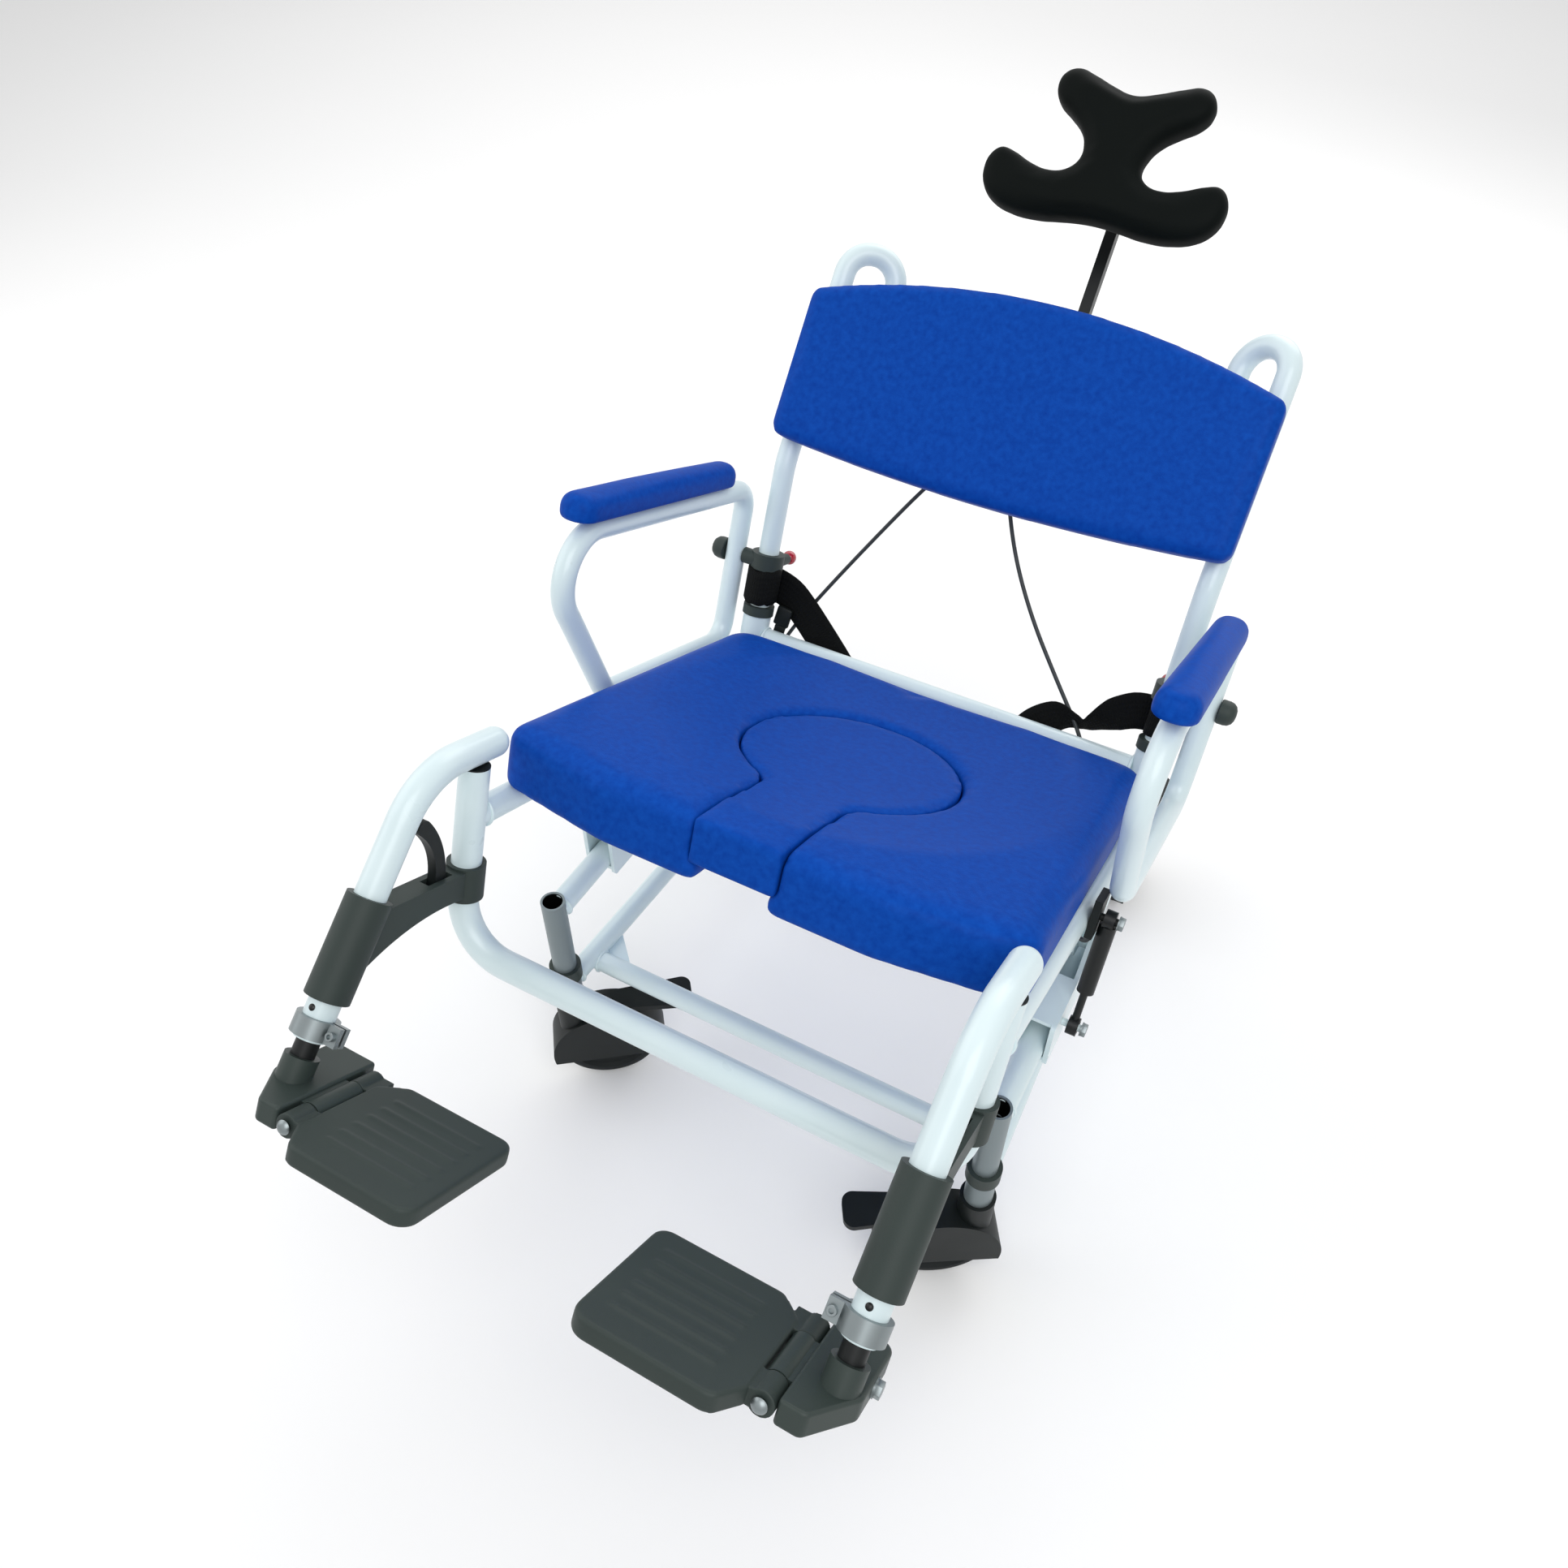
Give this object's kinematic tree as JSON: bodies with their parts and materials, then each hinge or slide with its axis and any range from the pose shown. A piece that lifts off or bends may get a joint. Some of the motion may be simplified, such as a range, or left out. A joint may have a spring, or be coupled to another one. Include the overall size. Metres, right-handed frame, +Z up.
{
  "type": "tilting shower commode chair",
  "caption": "Wheeled shower and toilet chair with a tilting keyhole seat, arched back, butterfly headrest, swing-up armrests, swing-away leg rests and braked casters.",
  "frame": {"origin": "On the floor under the middle of the chair's length and width.", "axes": "+X to the chair's left, +Y to its rear, +Z up, with the seat tilted back 22 degrees."},
  "size_m": [0.651, 1.3284, 1.0119],
  "materials": {
    "white_enamel": "powder coat",
    "silver_tube": "satin",
    "black_steel": "satin",
    "black_foam": "soft integral skin",
    "steel": "satin",
    "blue_foam": "soft integral skin",
    "dark_plastic": "satin",
    "red_plastic": "gloss",
    "black_webbing": "woven",
    "grey_plastic": "satin",
    "grey_tyre": "matte"
  },
  "bodies": {
    "base": {"base_frame": "white_enamel", "front_legs": "silver_tube", "leg_collars": "dark_plastic", "tilt_bracket_left": "white_enamel", "tilt_bracket_right": "white_enamel", "tilt_pivot_bolts": "steel"},
    "seat": {"seat_frame": "white_enamel", "post_plugs": "dark_plastic", "seat_pad": "blue_foam", "back_frame": "white_enamel", "upright_collars": "dark_plastic", "back_panel": "blue_foam", "headrest_clamp": "dark_plastic", "arm_bracket_left": "dark_plastic", "arm_bracket_right": "dark_plastic", "strut_block_left": "dark_plastic", "strut_block_right": "dark_plastic", "waist_strap_left": "black_webbing", "waist_strap_right": "black_webbing", "release_cable_left": "dark_plastic", "release_cable_right": "dark_plastic", "tilt_lever_mount": "dark_plastic"},
    "lid": {"seat_lid": "blue_foam"},
    "head_stem": {"headrest_stem": "black_steel"},
    "head_pad": {"headrest_pad": "black_foam"},
    "lever": {"tilt_lever": "dark_plastic"},
    "arm_left": {"arm_tube_left": "white_enamel", "arm_pad_left": "blue_foam"},
    "plunger_left": {"arm_plunger_left": "red_plastic"},
    "leg_rest_left": {"hanger_left": "white_enamel", "hanger_bracket_left": "grey_plastic", "clamp_ring_left": "steel"},
    "leg_lever_left": {"hanger_lever_left": "dark_plastic"},
    "foot_tube_left": {"footplate_tube_left": "black_steel"},
    "foot_plate_left": {"footplate_left": "grey_plastic"},
    "strut_upper_left": {"strut_cylinder_left": "black_steel"},
    "strut_lower_left": {"strut_rod_left": "black_steel"},
    "arm_right": {"arm_tube_right": "white_enamel", "arm_pad_right": "blue_foam"},
    "plunger_right": {"arm_plunger_right": "red_plastic"},
    "leg_rest_right": {"hanger_right": "white_enamel", "hanger_bracket_right": "grey_plastic", "clamp_ring_right": "steel"},
    "leg_lever_right": {"hanger_lever_right": "dark_plastic"},
    "foot_tube_right": {"footplate_tube_right": "black_steel"},
    "foot_plate_right": {"footplate_right": "grey_plastic"},
    "strut_upper_right": {"strut_cylinder_right": "black_steel"},
    "strut_lower_right": {"strut_rod_right": "black_steel"},
    "fork_front_left": {"caster_fork_front_left": "grey_plastic"},
    "wheel_front_left": {"caster_wheel_front_left": "grey_tyre"},
    "pedal_front_left": {"brake_pedal_front_left": "grey_plastic"},
    "fork_front_right": {"caster_fork_front_right": "grey_plastic"},
    "wheel_front_right": {"caster_wheel_front_right": "grey_tyre"},
    "pedal_front_right": {"brake_pedal_front_right": "grey_plastic"},
    "fork_rear_left": {"caster_fork_rear_left": "grey_plastic"},
    "wheel_rear_left": {"caster_wheel_rear_left": "grey_tyre"},
    "pedal_rear_left": {"brake_pedal_rear_left": "grey_plastic"},
    "fork_rear_right": {"caster_fork_rear_right": "grey_plastic"},
    "wheel_rear_right": {"caster_wheel_rear_right": "grey_tyre"},
    "pedal_rear_right": {"brake_pedal_rear_right": "grey_plastic"}
  },
  "joints": [
    {"name": "seat_tilt", "type": "hinge", "parent": "base", "child": "seat", "pos_m": [0, -0.0261, 0.383], "axis": [-1, 0, 0], "range_deg": [-22, 10]},
    {"name": "lid_lift", "type": "slide", "parent": "seat", "child": "lid", "axis": [0, 0.3746, 0.9272], "range_m": [0, 0.08]},
    {"name": "headrest_height", "type": "slide", "parent": "seat", "child": "head_stem", "axis": [0, 0.6293, 0.7771], "range_m": [-0.03, 0.08]},
    {"name": "headrest_tilt", "type": "hinge", "parent": "head_stem", "child": "head_pad", "pos_m": [0, 0.60495, 0.93438], "axis": [1, 0, 0], "range_deg": [-20, 20]},
    {"name": "tilt_lever_pull", "type": "hinge", "parent": "seat", "child": "lever", "pos_m": [-0.036, 0.43574, 0.70332], "axis": [1, 0, 0], "range_deg": [0, 18], "stiffness_Nm_per_rad": 1.5},
    {"name": "arm_swing_left", "type": "hinge", "parent": "seat", "child": "arm_left", "pos_m": [0.304, 0.24027, 0.51374], "axis": [-1, 0, 0], "range_deg": [0, 95]},
    {"name": "plunger_pull_left", "type": "slide", "parent": "seat", "child": "plunger_left", "axis": [0, 0.9272, -0.3746], "range_m": [0, 0.006], "stiffness_N_per_m": 600},
    {"name": "leg_rest_swing_left", "type": "hinge", "parent": "seat", "child": "leg_rest_left", "pos_m": [0.27, -0.32914, 0.54858], "axis": [0, 0.3746, 0.9272], "range_deg": [0, 90]},
    {"name": "leg_lever_pull_left", "type": "hinge", "parent": "leg_rest_left", "child": "leg_lever_left", "pos_m": [0.27, -0.38342, 0.53168], "axis": [-1, 0, 0], "range_deg": [0, 8], "stiffness_Nm_per_rad": 1},
    {"name": "foot_height_left", "type": "slide", "parent": "leg_rest_left", "child": "foot_tube_left", "axis": [0, -0.788, -0.6157], "range_m": [0, 0.08]},
    {"name": "foot_flip_left", "type": "hinge", "parent": "foot_tube_left", "child": "foot_plate_left", "pos_m": [0.228, -0.60037, 0.47745], "axis": [0, 0.8261, -0.5635], "range_deg": [0, 88]},
    {"name": "strut_swing_left", "type": "hinge", "parent": "seat", "child": "strut_upper_left", "pos_m": [0.302, -0.06442, 0.46967], "axis": [1, 0, 0], "range_deg": [-11.87, 5.94]},
    {"name": "strut_slide_left", "type": "slide", "parent": "strut_upper_left", "child": "strut_lower_left", "axis": [0, -0.3834, -0.9236], "range_m": [-0.02857, 0.01353]},
    {"name": "arm_swing_right", "type": "hinge", "parent": "seat", "child": "arm_right", "pos_m": [-0.304, 0.24027, 0.51374], "axis": [-1, 0, 0], "range_deg": [0, 95]},
    {"name": "plunger_pull_right", "type": "slide", "parent": "seat", "child": "plunger_right", "axis": [0, 0.9272, -0.3746], "range_m": [0, 0.006], "stiffness_N_per_m": 600},
    {"name": "leg_rest_swing_right", "type": "hinge", "parent": "seat", "child": "leg_rest_right", "pos_m": [-0.27, -0.32914, 0.54858], "axis": [0, -0.3746, -0.9272], "range_deg": [0, 90]},
    {"name": "leg_lever_pull_right", "type": "hinge", "parent": "leg_rest_right", "child": "leg_lever_right", "pos_m": [-0.27, -0.38342, 0.53168], "axis": [-1, 0, 0], "range_deg": [0, 8], "stiffness_Nm_per_rad": 1},
    {"name": "foot_height_right", "type": "slide", "parent": "leg_rest_right", "child": "foot_tube_right", "axis": [0, -0.788, -0.6157], "range_m": [0, 0.08]},
    {"name": "foot_flip_right", "type": "hinge", "parent": "foot_tube_right", "child": "foot_plate_right", "pos_m": [-0.228, -0.60037, 0.47745], "axis": [0, -0.8261, 0.5635], "range_deg": [0, 88]},
    {"name": "strut_swing_right", "type": "hinge", "parent": "seat", "child": "strut_upper_right", "pos_m": [-0.302, -0.06442, 0.46967], "axis": [1, 0, 0], "range_deg": [-11.87, 5.94]},
    {"name": "strut_slide_right", "type": "slide", "parent": "strut_upper_right", "child": "strut_lower_right", "axis": [0, -0.3834, -0.9236], "range_m": [-0.02857, 0.01353]},
    {"name": "swivel_front_left", "type": "hinge", "parent": "base", "child": "fork_front_left", "pos_m": [0.27, -0.2361, 0.16], "axis": [0, 0, 1], "continuous": true},
    {"name": "roll_front_left", "type": "hinge", "parent": "fork_front_left", "child": "wheel_front_left", "pos_m": [0.23777, -0.25624, 0.0625], "axis": [0.5299, -0.848, 0], "continuous": true},
    {"name": "brake_front_left", "type": "hinge", "parent": "fork_front_left", "child": "pedal_front_left", "pos_m": [0.23099, -0.26048, 0.1343], "axis": [0.5299, -0.848, 0], "range_deg": [0, 11]},
    {"name": "swivel_front_right", "type": "hinge", "parent": "base", "child": "fork_front_right", "pos_m": [-0.27, -0.2361, 0.16], "axis": [0, 0, 1], "continuous": true},
    {"name": "roll_front_right", "type": "hinge", "parent": "fork_front_right", "child": "wheel_front_right", "pos_m": [-0.24006, -0.2127, 0.0625], "axis": [-0.6157, 0.788, 0], "continuous": true},
    {"name": "brake_front_right", "type": "hinge", "parent": "fork_front_right", "child": "pedal_front_right", "pos_m": [-0.23375, -0.20778, 0.1343], "axis": [-0.6157, 0.788, 0], "range_deg": [0, 11]},
    {"name": "swivel_rear_left", "type": "hinge", "parent": "base", "child": "fork_rear_left", "pos_m": [0.246, 0.3639, 0.16], "axis": [0, 0, 1], "continuous": true},
    {"name": "roll_rear_left", "type": "hinge", "parent": "fork_rear_left", "child": "wheel_rear_left", "pos_m": [0.246, 0.4019, 0.0625], "axis": [-1, 0, 0], "continuous": true},
    {"name": "brake_rear_left", "type": "hinge", "parent": "fork_rear_left", "child": "pedal_rear_left", "pos_m": [0.246, 0.4099, 0.1343], "axis": [-1, 0, 0], "range_deg": [0, 11]},
    {"name": "swivel_rear_right", "type": "hinge", "parent": "base", "child": "fork_rear_right", "pos_m": [-0.246, 0.3639, 0.16], "axis": [0, 0, 1], "continuous": true},
    {"name": "roll_rear_right", "type": "hinge", "parent": "fork_rear_right", "child": "wheel_rear_right", "pos_m": [-0.246, 0.4019, 0.0625], "axis": [-1, 0, 0], "continuous": true},
    {"name": "brake_rear_right", "type": "hinge", "parent": "fork_rear_right", "child": "pedal_rear_right", "pos_m": [-0.246, 0.4099, 0.1343], "axis": [-1, 0, 0], "range_deg": [0, 11]}
  ],
  "couplings": [
    {"joint": "strut_swing_left", "follows": "seat_tilt", "ratio": 0.494},
    {"joint": "strut_slide_left", "follows": "seat_tilt", "m_per_rad": 0.0718},
    {"joint": "strut_swing_right", "follows": "seat_tilt", "ratio": 0.494},
    {"joint": "strut_slide_right", "follows": "seat_tilt", "m_per_rad": 0.0718}
  ]
}
